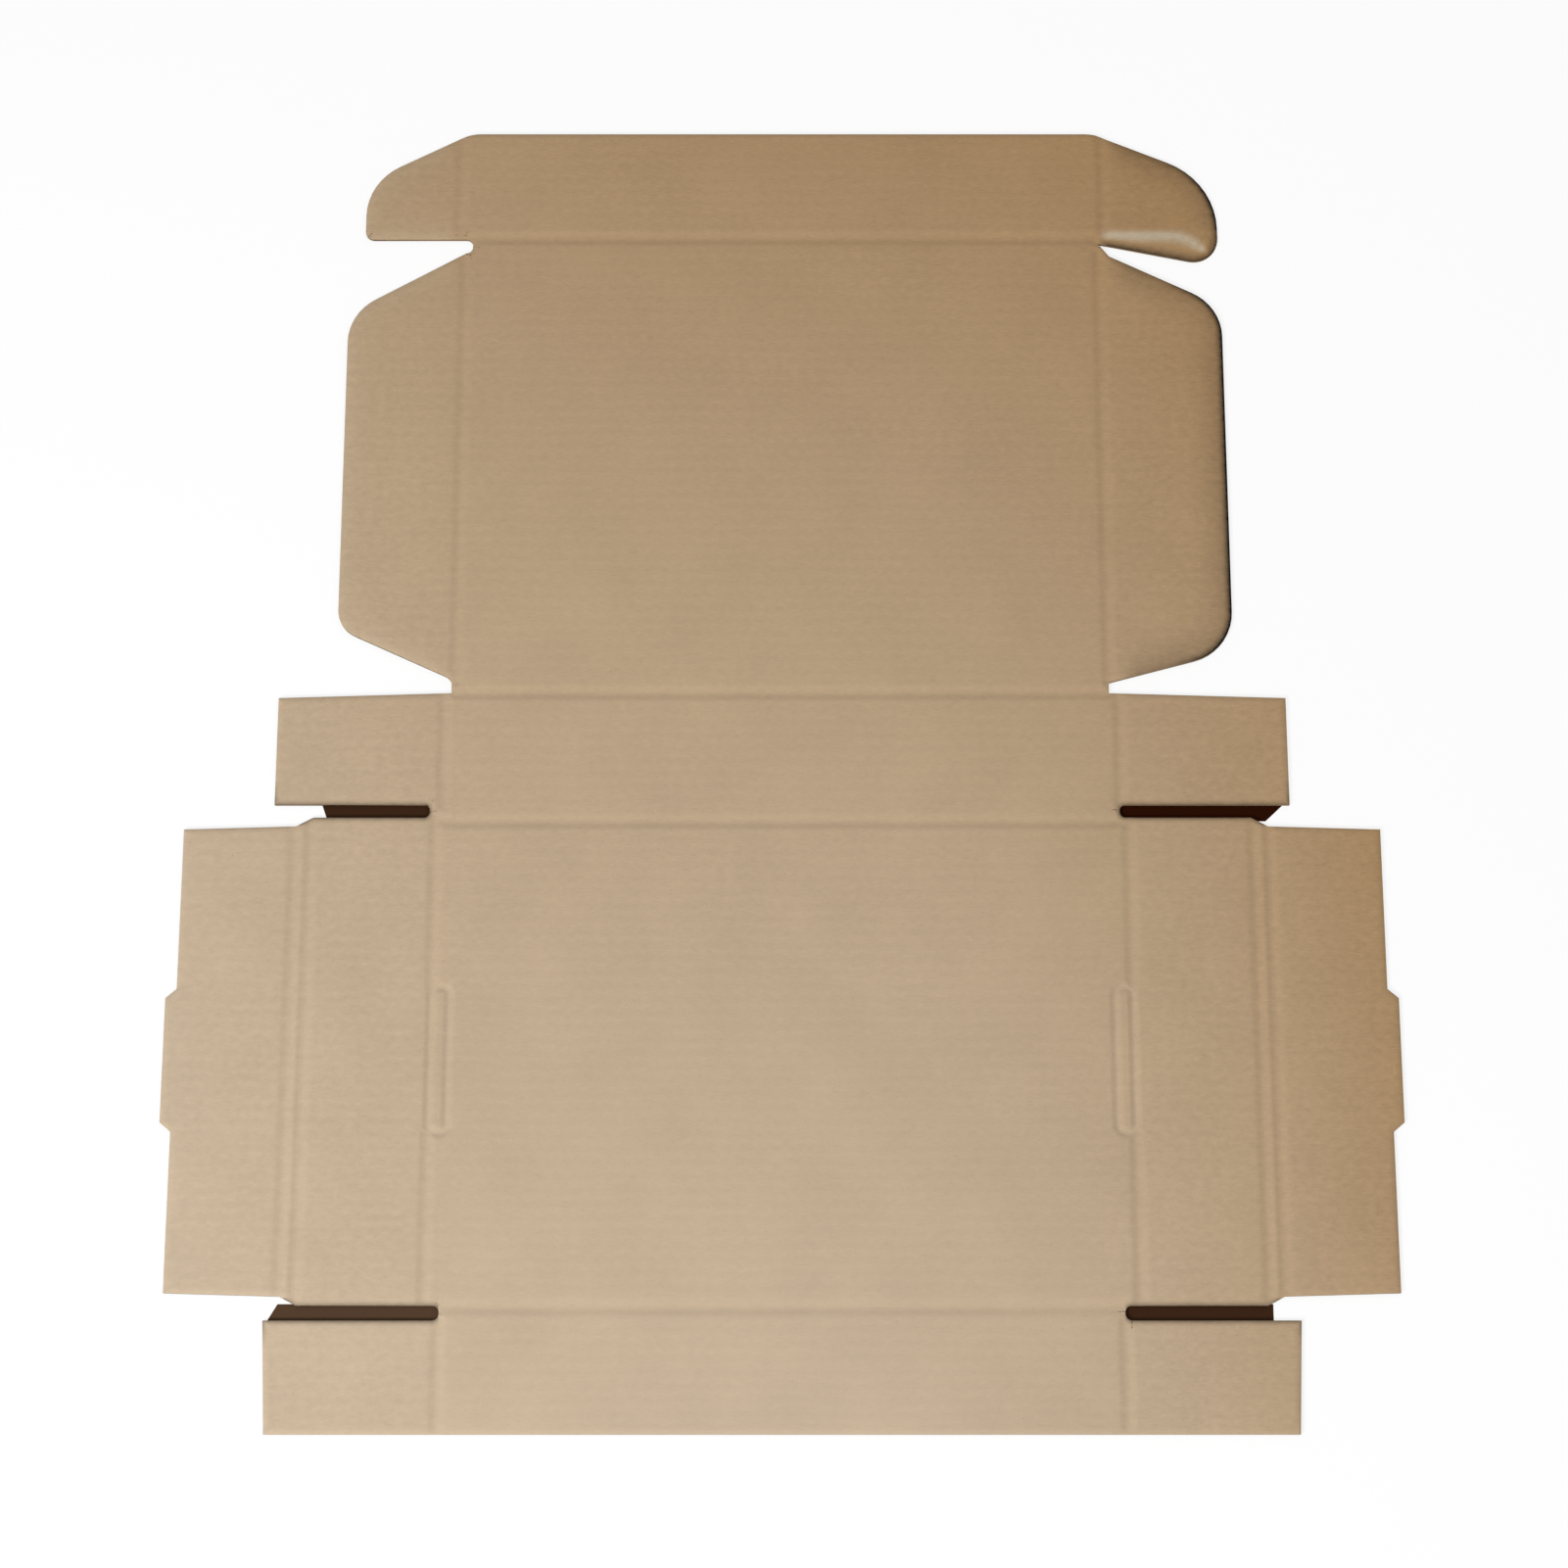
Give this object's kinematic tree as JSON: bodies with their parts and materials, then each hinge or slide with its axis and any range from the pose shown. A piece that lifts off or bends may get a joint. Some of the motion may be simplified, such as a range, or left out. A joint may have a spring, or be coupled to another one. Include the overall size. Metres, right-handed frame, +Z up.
{
  "type": "flattened cardboard box",
  "caption": "Unfolded die-cut mailing box: one sheet of corrugated kraft board with pressed creases, slits, tabs and lock slots, lying flat with its inner face up.",
  "frame": {"origin": "middle of the outline's bounding box, on the underside of the board", "axes": "+Y from the front wall to the closing flap, +X to the right seen from above, +Z up out of the inner face"},
  "size_m": [0.5696, 0.6316, 0.003],
  "materials": {
    "kraft_board": "matt uncoated brown kraft liner with faint washboard lines"
  },
  "bodies": {
    "root": {"box_blank": "kraft_board"}
  },
  "joints": []
}
